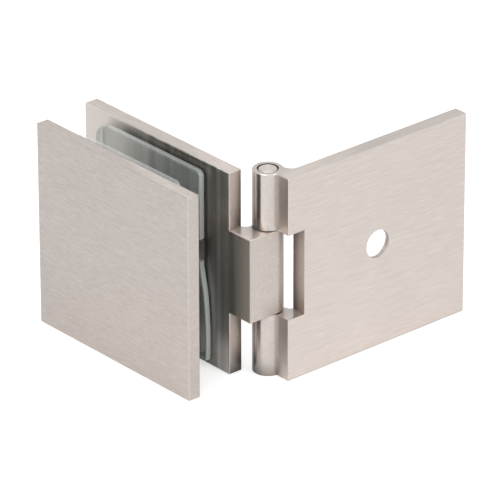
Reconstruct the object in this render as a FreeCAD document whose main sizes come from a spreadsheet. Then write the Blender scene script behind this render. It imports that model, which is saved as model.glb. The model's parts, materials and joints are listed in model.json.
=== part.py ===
import FreeCAD, Part

# Glass clamp with a pinned wall leaf
#
# A cover plate and a hinge plate grip a pane of glass between two clear gaskets, and one
# countersunk screw, driven from behind the hinge plate, pulls them together. The hinge
# plate's middle knuckle turns on a pin between the two knuckles of the wall leaf, which a
# screw fixes to a wall or a jamb.
#
# Frame: +Z is up, along the pin. The origin is the fixing hole's centre on the wall face.
# +X points into the wall and +Y along the wall leaf, away from the pin. The clamp stands
# square to the wall leaf.

import math
import os

import Sketcher
from FreeCAD import Rotation, Vector

SIZES = [
    ("plate_height", 50.0, "height of the three plates"),
    ("hole_raise", 0.7, "knuckles and holes above mid-height"),
    ("edge_round", 0.2, "rounding of the plates' upright edges"),
    ("rim_bevel", 0.15, "bevel round the plates' and knuckles' ends"),
    ("leaf_thick", 3.6, "wall leaf"),
    ("leaf_length", 53.5, "wall leaf, end to end"),
    ("leaf_setback", 0.5, "wall leaf's end beyond the pin's axis"),
    ("wall_offset", 7.5, "pin's axis to the wall face"),
    ("leaf_fillet", 2.0, "hollow between barrel and wall leaf"),
    ("barrel_dia", 7.1, "all knuckles"),
    ("notch_depth", 4.8, "from the wall leaf's end"),
    ("knuckle_height", 20.6, "middle knuckle"),
    ("knuckle_gap", 0.15, "above and below the middle knuckle"),
    ("pin_dia", 4.75, "hinge pin"),
    ("pin_press", 0.01, "pin to wall leaf, radial"),
    ("pin_run", 0.04, "pin to middle knuckle, radial"),
    ("pin_inset", 0.05, "pin's ends below the barrel's ends"),
    ("pin_bevel", 0.35, "pin's ends"),
    ("fixing_dia", 6.8, "fixing hole"),
    ("fixing_land", 1.1, "fixing hole's straight part"),
    ("sink_angle", 90.0, "both countersinks"),
    ("clamp_offset", 8.3, "pin's axis to the hinge plate's glass side"),
    ("clamp_thick", 3.6, "hinge plate"),
    ("clamp_length", 50.0, "hinge plate, end to end"),
    ("clamp_fillet", 1.5, "hollow between barrel and hinge plate"),
    ("clamp_gap", 12.0, "between the two plates' glass sides"),
    ("cover_length", 52.5, "cover plate"),
    ("cover_thick", 3.2, "cover plate"),
    ("cover_lap", 0.35, "cover plate's end past the pin's axis"),
    ("boss_dia", 9.0, "tapped boss"),
    ("boss_height", 4.0, "tapped boss"),
    ("boss_skin", 0.8, "metal left in front of the tapped hole"),
    ("thread_dia", 5.0, "clamp screw"),
    ("thread_gap", 0.05, "thread to tapped hole, radial"),
    ("screw_gap", 0.25, "clamp screw to hinge plate, radial"),
    ("screw_length", 16.0, "clamp screw, head included"),
    ("head_dia", 10.0, "clamp screw's head"),
    ("head_rim", 0.3, "straight rim of the head"),
    ("head_gap", 0.1, "head to its countersink, radial"),
    ("socket_width", 3.0, "hexagon socket across flats"),
    ("socket_depth", 1.9, "hexagon socket"),
    ("tip_bevel", 0.5, "clamp screw's end"),
    ("gasket_width", 36.4, "along the plates"),
    ("gasket_height", 46.6, "up the plates"),
    ("gasket_thick", 1.75, "both gaskets"),
    ("gasket_far_round", 4.2, "corners away from the pin"),
    ("gasket_near_round", 1.8, "corners by the pin"),
    ("gasket_hole", 16.0, "round the screw and the boss"),
    ("gasket_slit", 5.0, "from the hole to the pin side"),
    ("slit_raise", 3.75, "slit's middle above the gasket's middle"),
    ("gasket_seat", 0.05, "gasket to plate"),
    ("hinge_slip_x", -3.9, "hinge gasket's centre from the screw"),
    ("hinge_slip_z", -1.05, "hinge gasket's centre from the screw"),
    ("hinge_splay", 1.9, "lower arm of the hinge gasket, spread at its foot"),
    ("splay_radius", 120.0, "curve of that arm's edge"),
    ("cover_slip_x", 0.0, "cover gasket's centre from the screw"),
    ("cover_slip_z", 0.85, "cover gasket's centre from the screw"),
]

doc = FreeCAD.newDocument("glass_clamp")
sheet = doc.addObject("Spreadsheet::Sheet", "Sizes")
for row, (alias, size, note) in enumerate(SIZES, start=1):
    sheet.set(f"A{row}", alias)
    sheet.set(f"B{row}", str(size))
    sheet.set(f"C{row}", note)
    sheet.setAlias(f"B{row}", alias)
doc.recompute()

# Places that more than one piece shares, as expressions on the sheet
BARREL = "Sizes.barrel_dia / 2"
PIN_Y = "Sizes.leaf_setback - Sizes.leaf_length / 2"
PLATE_BOTTOM = "-Sizes.plate_height / 2 - Sizes.hole_raise"
PLATE_TOP = "Sizes.plate_height / 2 - Sizes.hole_raise"
HINGE_BACK = "Sizes.clamp_thick - Sizes.clamp_offset"
COVER_BACK = "-Sizes.clamp_offset - Sizes.clamp_gap"
SCREW_X = "Sizes.cover_lap - Sizes.cover_length / 2"
NOTCH_HALF = "Sizes.knuckle_height / 2 + Sizes.knuckle_gap"
SLIT_BOTTOM = "Sizes.slit_raise - Sizes.gasket_slit / 2"
SLIT_TOP = "Sizes.slit_raise + Sizes.gasket_slit / 2"
SMALL = 0.001


def number(expression):
    """Value of an expression on the sheet"""
    result = sheet.evalExpression(expression)
    return float(getattr(result, "Value", result))


def new_body(label, x="0", y="0", z="0"):
    """Body with its place bound to the sheet"""
    body = doc.addObject("PartDesign::Body", label)
    body.Label = label
    for side, expression in (("x", x), ("y", y), ("z", z)):
        body.setExpression(f"Placement.Base.{side}", expression)
    return body


def new_sketch(body, name, plane, offset="0"):
    """Sketch on one of the body's own planes, moved along that plane's normal"""
    sketch = body.newObject("Sketcher::SketchObject", name)
    support = [item for item in body.Origin.OriginFeatures if item.Role == plane][0]
    sketch.AttachmentSupport = (support, [""])
    sketch.MapMode = "FlatFace"
    sketch.setExpression("AttachmentOffset.Base.z", offset)
    return sketch


def bind(sketch, parts, expression):
    """Adds a constraint whose value follows the sheet"""
    index = sketch.addConstraint(Sketcher.Constraint(*parts, number(expression)))
    sketch.setExpression(f"Constraints[{index}]", expression)


def place(sketch, geometry, end, x=None, y=None):
    """Ties one point of a sketch to the sketch's origin, along X, Y or both"""
    for kind, axis, expression in (("DistanceX", -2, x), ("DistanceY", -1, y)):
        if expression is None:
            continue
        distance = number(expression)
        if abs(distance) < SMALL:
            sketch.addConstraint(Sketcher.Constraint("PointOnObject", geometry, end, axis))
        elif distance < 0:
            bind(sketch, (kind, geometry, end, -1, 1), f"-({expression})")
        else:
            bind(sketch, (kind, -1, 1, geometry, end), expression)


def rectangle(sketch, left, bottom, right, top):
    """Upright rectangle between two corners"""
    x0, y0, x1, y1 = (number(side) for side in (left, bottom, right, top))
    corners = [Vector(x0, y0), Vector(x1, y0), Vector(x1, y1), Vector(x0, y1)]
    lines = [sketch.addGeometry(Part.LineSegment(corners[i], corners[(i + 1) % 4])) for i in range(4)]
    for i in range(4):
        sketch.addConstraint(Sketcher.Constraint("Coincident", lines[i], 2, lines[(i + 1) % 4], 1))
        sketch.addConstraint(Sketcher.Constraint(("Horizontal", "Vertical")[i % 2], lines[i]))
    place(sketch, lines[0], 1, left, bottom)
    place(sketch, lines[2], 1, right, top)


def circle(sketch, radius, x="0", y="0"):
    """Circle by its centre and radius"""
    centre = Vector(number(x), number(y))
    ring = sketch.addGeometry(Part.Circle(centre, Vector(0, 0, 1), number(radius)))
    bind(sketch, ("Radius", ring), radius)
    if abs(centre.x) < SMALL and abs(centre.y) < SMALL:
        sketch.addConstraint(Sketcher.Constraint("Coincident", ring, 3, -1, 1))
    else:
        place(sketch, ring, 3, x, y)


def arc(sketch, centre, radius, start, end):
    """Arc from one point to another, anticlockwise round its centre"""
    first = math.atan2(start.y - centre.y, start.x - centre.x)
    last = math.atan2(end.y - centre.y, end.x - centre.x)
    ring = Part.Circle(centre, Vector(0, 0, 1), radius)
    return sketch.addGeometry(Part.ArcOfCircle(ring, first, last))


def extrude(body, kind, name, sketch, length, backwards=False):
    """Pad or pocket of a sketch, with its length bound to the sheet"""
    doc.recompute()
    before = body.Shape.Volume if body.Tip else 0.0
    feature = body.newObject(f"PartDesign::{kind}", name)
    feature.Profile = sketch
    if length == "through":
        feature.Type = "ThroughAll"
        feature.Midplane = True
    else:
        feature.setExpression("Length", length)
        feature.Reversed = backwards
    doc.recompute()
    check_change(body, name, before)
    return feature


def check_change(body, name, before):
    """Stops if a feature neither added nor removed anything"""
    if abs(body.Shape.Volume - before) < SMALL:
        raise RuntimeError(f"{name} changes nothing")


def straight_way(edge):
    """Direction of a straight edge, and None for a curved one"""
    span = edge.Vertexes[-1].Point - edge.Vertexes[0].Point
    if span.Length < SMALL or edge.Length - span.Length > SMALL:
        return None
    return span.normalize()


def edges_where(feature, test):
    """Names of the edges whose middle and direction pass a test"""
    names = []
    for index, edge in enumerate(feature.Shape.Edges, start=1):
        middle = edge.valueAt((edge.FirstParameter + edge.LastParameter) / 2)
        if test(middle, straight_way(edge)):
            names.append(f"Edge{index}")
    return names


def dress(body, kind, name, test, size):
    """Fillet or chamfer of the edges that pass a test"""
    base = body.Tip
    feature = body.newObject(f"PartDesign::{kind}", name)
    feature.Base = (base, edges_where(base, test))
    feature.setExpression("Radius" if kind == "Fillet" else "Size", size)
    doc.recompute()
    check_change(body, name, base.Shape.Volume)
    return feature


def countersunk_hole(body, name, sketch, diameter, sink_diameter):
    """Hole through a plate, with its countersink on the sketch's side"""
    doc.recompute()
    before = body.Shape.Volume
    hole = body.newObject("PartDesign::Hole", name)
    hole.Profile = sketch
    doc.recompute()
    hole.ThreadType = 0
    hole.DepthType = "ThroughAll"
    hole.HoleCutType = "Countersink"
    hole.HoleCutCustomValues = True
    hole.setExpression("Diameter", diameter)
    hole.setExpression("HoleCutDiameter", sink_diameter)
    hole.setExpression("HoleCutCountersinkAngle", "Sizes.sink_angle")
    doc.recompute()
    if abs(body.Shape.Volume - before) < SMALL:
        hole.Reversed = True
        doc.recompute()
    check_change(body, name, before)
    return hole


def near(value, expression):
    """Whether a coordinate is at a place given by the sheet"""
    return abs(value - number(expression)) < SMALL


def is_upright(way):
    """Whether a straight edge runs along Z"""
    return way is not None and abs(way.z) > 0.999


def is_plate_end(middle, way):
    """Whether an edge bounds a plate's top or bottom"""
    return near(middle.z, PLATE_TOP) or near(middle.z, PLATE_BOTTOM)


# Wall leaf: one plate with the two outer knuckles, a notch between them and one
# countersunk hole for the fixing screw
def make_wall_leaf():
    body = new_body("wall_leaf")
    profile = new_sketch(body, "leaf_profile", "XY_Plane", PLATE_BOTTOM)
    axis = Vector(-number("Sizes.wall_offset"), number(PIN_Y))
    radius = number(BARREL)
    hollow = number("Sizes.leaf_fillet")
    end_y = axis.y - number("Sizes.leaf_setback")
    far_y = end_y + number("Sizes.leaf_length")
    back_x = -number("Sizes.leaf_thick")
    reach = radius + hollow
    side = back_x - hollow - axis.x
    hollow_centre = Vector(back_x - hollow, axis.y + math.sqrt(reach ** 2 - side ** 2))
    back_start = Vector(back_x, hollow_centre.y)
    barrel_start = axis + (hollow_centre - axis) * (radius / reach)
    setback = axis.y - end_y
    barrel_end = Vector(axis.x + math.sqrt(radius ** 2 - setback ** 2), end_y)
    wall_end = Vector(0, end_y)
    wall_far = Vector(0, far_y)
    back_far = Vector(back_x, far_y)
    end_line = profile.addGeometry(Part.LineSegment(barrel_end, wall_end))
    wall_line = profile.addGeometry(Part.LineSegment(wall_end, wall_far))
    far_line = profile.addGeometry(Part.LineSegment(wall_far, back_far))
    back_line = profile.addGeometry(Part.LineSegment(back_far, back_start))
    barrel = arc(profile, axis, radius, barrel_start, barrel_end)
    fillet = arc(profile, hollow_centre, hollow, barrel_start, back_start)
    for first, second in ((end_line, wall_line), (wall_line, far_line), (far_line, back_line)):
        profile.addConstraint(Sketcher.Constraint("Coincident", first, 2, second, 1))
    for line in (end_line, far_line):
        profile.addConstraint(Sketcher.Constraint("Horizontal", line))
    for line in (wall_line, back_line):
        profile.addConstraint(Sketcher.Constraint("Vertical", line))
    profile.addConstraint(Sketcher.Constraint("Coincident", barrel, 2, end_line, 1))
    profile.addConstraint(Sketcher.Constraint("Tangent", back_line, 2, fillet, 2))
    profile.addConstraint(Sketcher.Constraint("Tangent", fillet, 1, barrel, 1))
    place(profile, wall_line, 1, "0", "-Sizes.leaf_length / 2")
    place(profile, back_line, 1, "-Sizes.leaf_thick", "Sizes.leaf_length / 2")
    place(profile, barrel, 3, "-Sizes.wall_offset", PIN_Y)
    bind(profile, ("Radius", barrel), BARREL)
    bind(profile, ("Radius", fillet), "Sizes.leaf_fillet")
    extrude(body, "Pad", "leaf_pad", profile, "Sizes.plate_height")

    def corner(middle, way):
        return is_upright(way) and (near(middle.x, "0") or near(middle.y, "Sizes.leaf_length / 2"))

    dress(body, "Fillet", "leaf_corners", corner, "Sizes.edge_round")
    dress(body, "Chamfer", "leaf_rims", is_plate_end, "Sizes.rim_bevel")
    notch = new_sketch(body, "notch_outline", "YZ_Plane")
    rectangle(notch, f"{PIN_Y} - Sizes.barrel_dia", f"-({NOTCH_HALF})",
              "Sizes.notch_depth - Sizes.leaf_length / 2", NOTCH_HALF)
    extrude(body, "Pocket", "notch", notch, "through")
    bore = new_sketch(body, "pin_bore_circle", "XY_Plane")
    circle(bore, "Sizes.pin_dia / 2 + Sizes.pin_press", "-Sizes.wall_offset", PIN_Y)
    extrude(body, "Pocket", "pin_bore", bore, "through")
    fixing = new_sketch(body, "fixing_circle", "YZ_Plane", "-Sizes.leaf_thick")
    circle(fixing, "Sizes.fixing_dia / 2")
    sink = ("Sizes.fixing_dia + 2 * (Sizes.leaf_thick - Sizes.fixing_land)"
            " * tan(Sizes.sink_angle * 0.5 * 1 deg)")
    countersunk_hole(body, "fixing_hole", fixing, "Sizes.fixing_dia", sink)
    return body


# Hinge pin: a plain turned pin, pressed into the wall leaf and flush with its knuckles
def make_hinge_pin():
    body = new_body("hinge_pin", "-Sizes.wall_offset", PIN_Y, PLATE_BOTTOM)
    section = new_sketch(body, "pin_circle", "XY_Plane", "Sizes.pin_inset")
    circle(section, "Sizes.pin_dia / 2")
    extrude(body, "Pad", "pin_pad", section, "Sizes.plate_height - 2 * Sizes.pin_inset")
    dress(body, "Chamfer", "pin_ends", lambda middle, way: way is None, "Sizes.pin_bevel")
    return body


# Middle knuckle, before it is joined to the hinge plate: a block with one flat end, flush
# with the plate's glass side, and a barrel round the pin
def make_knuckle_block():
    body = new_body("knuckle_block")
    profile = new_sketch(body, "knuckle_profile", "XY_Plane", "-Sizes.knuckle_height / 2")
    radius = number(BARREL)
    hollow = number("Sizes.clamp_fillet")
    back = number(HINGE_BACK)
    glass_side = -number("Sizes.clamp_offset")
    reach = radius + hollow
    hollow_centre = Vector(-math.sqrt(reach ** 2 - (back + hollow) ** 2), back + hollow)
    root = Vector(hollow_centre.x, back)
    root_front = Vector(hollow_centre.x, glass_side)
    end_front = Vector(radius, glass_side)
    barrel_start = Vector(radius, 0)
    barrel_end = hollow_centre * (radius / reach)
    front_line = profile.addGeometry(Part.LineSegment(root_front, end_front))
    end_line = profile.addGeometry(Part.LineSegment(end_front, barrel_start))
    root_line = profile.addGeometry(Part.LineSegment(root, root_front))
    barrel = arc(profile, Vector(0, 0), radius, barrel_start, barrel_end)
    fillet = arc(profile, hollow_centre, hollow, root, barrel_end)
    profile.addConstraint(Sketcher.Constraint("Coincident", root_line, 2, front_line, 1))
    profile.addConstraint(Sketcher.Constraint("Coincident", front_line, 2, end_line, 1))
    profile.addConstraint(Sketcher.Constraint("Coincident", root_line, 1, fillet, 1))
    profile.addConstraint(Sketcher.Constraint("Horizontal", front_line))
    profile.addConstraint(Sketcher.Constraint("Vertical", root_line))
    profile.addConstraint(Sketcher.Constraint("Tangent", end_line, 2, barrel, 1))
    profile.addConstraint(Sketcher.Constraint("Tangent", barrel, 2, fillet, 2))
    profile.addConstraint(Sketcher.Constraint("Vertical", root_line, 1, fillet, 3))
    profile.addConstraint(Sketcher.Constraint("Coincident", barrel, 3, -1, 1))
    place(profile, end_line, 1, BARREL, "-Sizes.clamp_offset")
    bind(profile, ("Radius", fillet), "Sizes.clamp_fillet")
    bind(profile, ("DistanceY", root_line, 1, -1, 1), f"-({HINGE_BACK})")
    extrude(body, "Pad", "knuckle_pad", profile, "Sizes.knuckle_height")

    def corner(middle, way):
        return is_upright(way) and middle.x > 0 and middle.y < glass_side + SMALL

    def rim(middle, way):
        return near(abs(middle.z), "Sizes.knuckle_height / 2") and middle.x > root.x + SMALL

    dress(body, "Fillet", "knuckle_corner", corner, "Sizes.edge_round")
    dress(body, "Chamfer", "knuckle_rims", rim, "Sizes.rim_bevel")
    return body


# Hinge plate: one plate with the middle knuckle, countersunk behind for the clamp screw.
# Its own origin is on the pin's axis.
def make_hinge_plate():
    block = make_knuckle_block()
    body = new_body("hinge_plate", "-Sizes.wall_offset", PIN_Y)
    outline = new_sketch(body, "hinge_plate_outline", "XY_Plane", PLATE_BOTTOM)
    rectangle(outline, f"-{BARREL} - Sizes.clamp_length", "-Sizes.clamp_offset", f"-{BARREL}", HINGE_BACK)
    extrude(body, "Pad", "hinge_plate_pad", outline, "Sizes.plate_height")
    dress(body, "Fillet", "hinge_plate_corners", lambda middle, way: is_upright(way), "Sizes.edge_round")
    dress(body, "Chamfer", "hinge_plate_rims", is_plate_end, "Sizes.rim_bevel")
    before = body.Shape.Volume
    joined = body.newObject("PartDesign::Boolean", "knuckle_joined")
    joined.setObjects([block])
    joined.Type = "Fuse"
    doc.recompute()
    check_change(body, "knuckle_joined", before)
    bore = new_sketch(body, "knuckle_bore_circle", "XY_Plane")
    circle(bore, "Sizes.pin_dia / 2 + Sizes.pin_run")
    extrude(body, "Pocket", "knuckle_bore", bore, "through")
    screw = new_sketch(body, "screw_hole_circle", "XZ_Plane", f"-({HINGE_BACK})")
    circle(screw, "Sizes.thread_dia / 2 + Sizes.screw_gap", SCREW_X)
    countersunk_hole(body, "screw_hole", screw, "Sizes.thread_dia + 2 * Sizes.screw_gap",
                     "Sizes.head_dia + 2 * (Sizes.head_rim + Sizes.head_gap)")
    return body


# Cover plate: a blank plate with a tapped boss behind, which reaches into the glass's hole.
# Its own origin is on the clamp screw's axis, on the plate's glass side.
def make_cover_plate():
    body = new_body("cover_plate", f"{SCREW_X} - Sizes.wall_offset", f"{PIN_Y} + {COVER_BACK}")
    outline = new_sketch(body, "cover_outline", "XZ_Plane")
    rectangle(outline, "-Sizes.cover_length / 2", PLATE_BOTTOM, "Sizes.cover_length / 2", PLATE_TOP)
    extrude(body, "Pad", "cover_pad", outline, "Sizes.cover_thick")
    dress(body, "Fillet", "cover_corners", lambda middle, way: is_upright(way), "Sizes.edge_round")
    dress(body, "Chamfer", "cover_rims", is_plate_end, "Sizes.rim_bevel")
    boss = new_sketch(body, "boss_circle", "XZ_Plane")
    circle(boss, "Sizes.boss_dia / 2")
    extrude(body, "Pad", "boss", boss, "Sizes.boss_height", backwards=True)
    tapped = new_sketch(body, "tapped_circle", "XZ_Plane", "-Sizes.boss_height")
    circle(tapped, "Sizes.thread_dia / 2 + Sizes.thread_gap")
    depth = "Sizes.boss_height + Sizes.cover_thick - Sizes.boss_skin"
    extrude(body, "Pocket", "tapped_hole", tapped, depth, backwards=True)
    return body


# Clamp screw: countersunk, with a hexagon socket. Its own origin is the head's centre, on
# the hinge plate's back, and it points along -Y.
def make_clamp_screw():
    body = new_body("clamp_screw", f"{SCREW_X} - Sizes.wall_offset", f"{PIN_Y} + {HINGE_BACK}")
    half = new_sketch(body, "screw_section", "XY_Plane")
    head = number("Sizes.head_dia / 2")
    shank = number("Sizes.thread_dia / 2")
    rim = number("Sizes.head_rim")
    length = number("Sizes.screw_length")
    bevel = number("Sizes.tip_bevel")
    cone = (head - shank) / math.tan(math.radians(number("Sizes.sink_angle") / 2))
    points = [
        Vector(0, 0),
        Vector(head, 0),
        Vector(head, -rim),
        Vector(shank, -rim - cone),
        Vector(shank, -length + bevel),
        Vector(shank - bevel, -length),
        Vector(0, -length),
    ]
    count = len(points)
    lines = [half.addGeometry(Part.LineSegment(points[i], points[(i + 1) % count])) for i in range(count)]
    for i in range(count):
        half.addConstraint(Sketcher.Constraint("Coincident", lines[i], 2, lines[(i + 1) % count], 1))
    half.addConstraint(Sketcher.Constraint("Coincident", lines[0], 1, -1, 1))
    for line in (lines[0], lines[5]):
        half.addConstraint(Sketcher.Constraint("Horizontal", line))
    for line in (lines[1], lines[3], lines[6]):
        half.addConstraint(Sketcher.Constraint("Vertical", line))
    place(half, lines[1], 2, "Sizes.head_dia / 2", "-Sizes.head_rim")
    place(half, lines[4], 1, "Sizes.thread_dia / 2", "Sizes.tip_bevel - Sizes.screw_length")
    place(half, lines[5], 1, "Sizes.thread_dia / 2 - Sizes.tip_bevel", "-Sizes.screw_length")
    slope = "(Sizes.head_dia - Sizes.thread_dia) / 2 / tan(Sizes.sink_angle * 0.5 * 1 deg)"
    bind(half, ("DistanceY", lines[2], 2, lines[2], 1), slope)
    doc.recompute()
    turned = body.newObject("PartDesign::Revolution", "screw_turned")
    turned.Profile = half
    turned.ReferenceAxis = (half, ["V_Axis"])
    doc.recompute()
    check_change(body, "screw_turned", 0.0)
    flats = new_sketch(body, "socket_hexagon", "XZ_Plane")
    across = number("Sizes.socket_width")
    corners = [Vector(0, across / math.sqrt(3)) for _ in range(6)]
    corners = [Rotation(Vector(0, 0, 1), 60 * i).multVec(corner) for i, corner in enumerate(corners)]
    sides = [flats.addGeometry(Part.LineSegment(corners[i], corners[(i + 1) % 6])) for i in range(6)]
    guide = flats.addGeometry(Part.Circle(Vector(0, 0), Vector(0, 0, 1), across / 2), True)
    for i in range(6):
        flats.addConstraint(Sketcher.Constraint("Coincident", sides[i], 2, sides[(i + 1) % 6], 1))
        flats.addConstraint(Sketcher.Constraint("Tangent", sides[i], guide))
        if i:
            flats.addConstraint(Sketcher.Constraint("Equal", sides[0], sides[i]))
    flats.addConstraint(Sketcher.Constraint("Coincident", guide, 3, -1, 1))
    flats.addConstraint(Sketcher.Constraint("PointOnObject", sides[0], 1, -2))
    bind(flats, ("Radius", guide), "Sizes.socket_width / 2")
    extrude(body, "Pocket", "socket", flats, "Sizes.socket_depth", backwards=True)
    return body


# Gaskets: clear sheets with a hole round the screw and a slit that lets them slip over it.
# Each one's own origin is its middle, on the face against its plate.
def make_gasket(label, slip_x, slip_z, seat_y, backwards, splay=None):
    body = new_body(label, f"{SCREW_X} - Sizes.wall_offset + {slip_x}", f"{PIN_Y} + {seat_y}", slip_z)
    outline = new_sketch(body, f"{label}_outline", "XZ_Plane")
    right = number("Sizes.gasket_width / 2")
    top = number("Sizes.gasket_height / 2")
    foot = right + (number(splay) if splay else 0.0)
    points = [Vector(right, number(SLIT_BOTTOM)), Vector(right, top), Vector(-right, top), Vector(-right, -top),
              Vector(foot, -top)]
    lines = [outline.addGeometry(Part.LineSegment(points[i], points[i + 1])) for i in range(4)]
    if splay:
        radius = number("Sizes.splay_radius")
        half = (points[0] - points[4]) * 0.5
        side = Vector(-half.y, half.x) * (math.sqrt(radius ** 2 - half.Length ** 2) / half.Length)
        lines.append(arc(outline, points[4] + half + side, radius, points[4], points[0]))
        bind(outline, ("Radius", lines[4]), "Sizes.splay_radius")
    else:
        lines.append(outline.addGeometry(Part.LineSegment(points[4], points[0])))
    for i in range(5):
        outline.addConstraint(Sketcher.Constraint("Coincident", lines[i], 2, lines[(i + 1) % 5], 1))
    for line in (lines[1], lines[3]):
        outline.addConstraint(Sketcher.Constraint("Horizontal", line))
    for line in (lines[0], lines[2]):
        outline.addConstraint(Sketcher.Constraint("Vertical", line))
    place(outline, lines[1], 1, "Sizes.gasket_width / 2", "Sizes.gasket_height / 2")
    place(outline, lines[3], 1, "-Sizes.gasket_width / 2", "-Sizes.gasket_height / 2")
    place(outline, lines[0], 1, y=SLIT_BOTTOM)
    bind(outline, ("DistanceX", -1, 1, lines[3], 2), f"Sizes.gasket_width / 2 + {splay or 0}")
    extrude(body, "Pad", f"{label}_pad", outline, "Sizes.gasket_thick", backwards)

    def corner(middle, way, side):
        across = way is not None and abs(way.y) > 0.999
        return across and middle.x * side > 0 and abs(abs(middle.z) - top) < SMALL

    dress(body, "Fillet", f"{label}_far_corners",
          lambda middle, way: corner(middle, way, -1), "Sizes.gasket_far_round")
    dress(body, "Fillet", f"{label}_near_corners",
          lambda middle, way: corner(middle, way, 1), "Sizes.gasket_near_round")
    hole = new_sketch(body, f"{label}_hole_circle", "XZ_Plane")
    circle(hole, "Sizes.gasket_hole / 2")
    extrude(body, "Pocket", f"{label}_hole", hole, "through")
    slit = new_sketch(body, f"{label}_slit_outline", "XZ_Plane")
    rectangle(slit, "0", SLIT_BOTTOM, "Sizes.gasket_width", SLIT_TOP)
    extrude(body, "Pocket", f"{label}_slit", slit, "through")
    return body


def make_gaskets():
    hinge_side = make_gasket("hinge_gasket", "Sizes.hinge_slip_x", "Sizes.hinge_slip_z",
                             "-Sizes.clamp_offset - Sizes.gasket_seat", False, "Sizes.hinge_splay")
    cover_side = make_gasket("cover_gasket", "Sizes.cover_slip_x", "Sizes.cover_slip_z",
                             f"{COVER_BACK} + Sizes.gasket_seat", True)
    return [hinge_side, cover_side]


pieces = [
    make_wall_leaf(),
    make_hinge_pin(),
    make_hinge_plate(),
    make_cover_plate(),
    make_clamp_screw(),
    *make_gaskets(),
]
doc.recompute()

for item in doc.Objects:
    for fault in ("Invalid", "Error"):
        if fault in item.State:
            raise RuntimeError(f"{item.Label} is in the state {fault}")
for piece in pieces:
    shape = piece.Shape
    if shape.isNull() or not shape.isValid() or len(shape.Solids) != 1:
        raise RuntimeError(f"{piece.Label} is not one valid solid")

os.makedirs("parts", exist_ok=True)
for piece in pieces:
    piece.Shape.exportStep(f"parts/{piece.Label}.step")
    box = piece.Shape.BoundBox
    print(f"{piece.Label}: {piece.Shape.Volume:.1f} mm3, x {box.XMin:.2f} to {box.XMax:.2f},"
          f" y {box.YMin:.2f} to {box.YMax:.2f}, z {box.ZMin:.2f} to {box.ZMax:.2f}")
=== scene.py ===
# Glass clamp on a wall leaf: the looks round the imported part.
# A cover plate and a hinge plate grip a glass pane between two clear gaskets, and a pin hinges
# the hinge plate to a flat wall leaf. Sizes are in metres, in the part's own frame.
import json
import math

import bmesh
import bpy
from mathutils import Matrix, Vector


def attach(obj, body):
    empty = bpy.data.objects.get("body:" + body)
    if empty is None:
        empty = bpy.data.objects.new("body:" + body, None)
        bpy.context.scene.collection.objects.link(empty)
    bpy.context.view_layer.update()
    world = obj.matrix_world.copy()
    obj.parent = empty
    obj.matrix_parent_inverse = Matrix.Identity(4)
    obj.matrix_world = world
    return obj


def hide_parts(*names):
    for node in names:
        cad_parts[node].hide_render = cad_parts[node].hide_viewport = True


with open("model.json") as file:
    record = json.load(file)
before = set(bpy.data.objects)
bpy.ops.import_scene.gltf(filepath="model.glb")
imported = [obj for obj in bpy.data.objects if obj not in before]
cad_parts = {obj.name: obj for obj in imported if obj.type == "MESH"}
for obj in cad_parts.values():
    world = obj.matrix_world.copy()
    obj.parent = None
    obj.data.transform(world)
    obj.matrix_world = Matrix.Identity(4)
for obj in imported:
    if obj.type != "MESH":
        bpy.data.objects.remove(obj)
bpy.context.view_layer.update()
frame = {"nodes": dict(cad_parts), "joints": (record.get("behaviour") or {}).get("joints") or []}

# Camera.
# It looks down on the clamp's glass gap over a long lens. Its place was fitted to the straight
# edges in the photograph, and is given from the pin's axis, half way up the plates.
HINGE_MIDDLE = Vector((-0.0075, -0.02625, -0.0007))
CAMERA_DISTANCE = 1.182177
CAMERA_TURN = math.radians(49.1262)
CAMERA_PITCH = math.radians(26.1228)
CAMERA_ROLL = math.radians(-0.1017)
LENS = 381.83
SENSOR_WIDTH = 36
MIDDLE_RIGHT = 0.003972
MIDDLE_DOWN = 0.004344
CLIP_NEAR = 0.05
CLIP_FAR = 30

camera_turn = (
    Matrix.Rotation(CAMERA_TURN, 4, "Z")
    @ Matrix.Rotation(math.pi / 2 - CAMERA_PITCH, 4, "X")
    @ Matrix.Rotation(CAMERA_ROLL, 4, "Z")
)
to_hinge = Vector((MIDDLE_RIGHT, -MIDDLE_DOWN, -CAMERA_DISTANCE))
bpy.ops.object.camera_add(location=HINGE_MIDDLE - camera_turn.to_3x3() @ to_hinge)
camera = bpy.context.object
camera.name = "camera"
camera.rotation_euler = camera_turn.to_euler()
camera.data.lens = LENS
camera.data.sensor_width = SENSOR_WIDTH
camera.data.clip_start = CLIP_NEAR
camera.data.clip_end = CLIP_FAR
bpy.context.scene.camera = camera

# Wall leaf.
# A flat plate with two knuckles at its end, a notch between them and one fixing hole, which is
# countersunk behind. It is stainless steel or nickel-plated brass, machined and then brushed
# along its length. Its faces that look up and down are darkened as painted shade, and its
# upright edges are rubbed bright and carry a painted highlight.
LEAF_SCRATCHES = (5000, 250, 5000)
NICKEL_DARK = (0.565, 0.505, 0.465)
NICKEL_MIDDLE = (0.635, 0.575, 0.535)
NICKEL_PALE = (0.705, 0.645, 0.605)
# Upright edges are rubbed bright and carry a painted highlight in this colour.
WORN_HIGHLIGHT_NICKEL = (0.84, 0.80, 0.76, 1)
# A thin painted shadow along the rims of faces that look up or down.
SHADOW_LINE_TONE = 0.72
# Slopes over which faces that look up or down take their painted shade.
LEVEL_FACE_SLOPE = (0.6, 0.9)
CLOUD_RANGE = (0.3, 0.7)
SATIN = (0.24, 0.31)
STREAK_ROUGHNESS = 0.10
BARREL_SKIN = (0.0040, 0.0036)
BARREL_ROUGHNESS = 0.22
SCRATCH_STRENGTH = 0.3
SCRATCH_DEPTH = 0.00002
BRUSHED_SHARE = 0.85
QUARTER_TURN = 0.25
pin_axis = next(joint["pos_m"] for joint in frame["joints"] if joint["name"] == "hinge_turn")


def set_inputs(tree, node, inputs):
    """Gives a node's inputs their plain values, or links them to the sockets given."""
    for key, value in inputs.items():
        if isinstance(value, bpy.types.NodeSocket):
            tree.links.new(value, node.inputs[key])
        else:
            node.inputs[key].default_value = value


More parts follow.
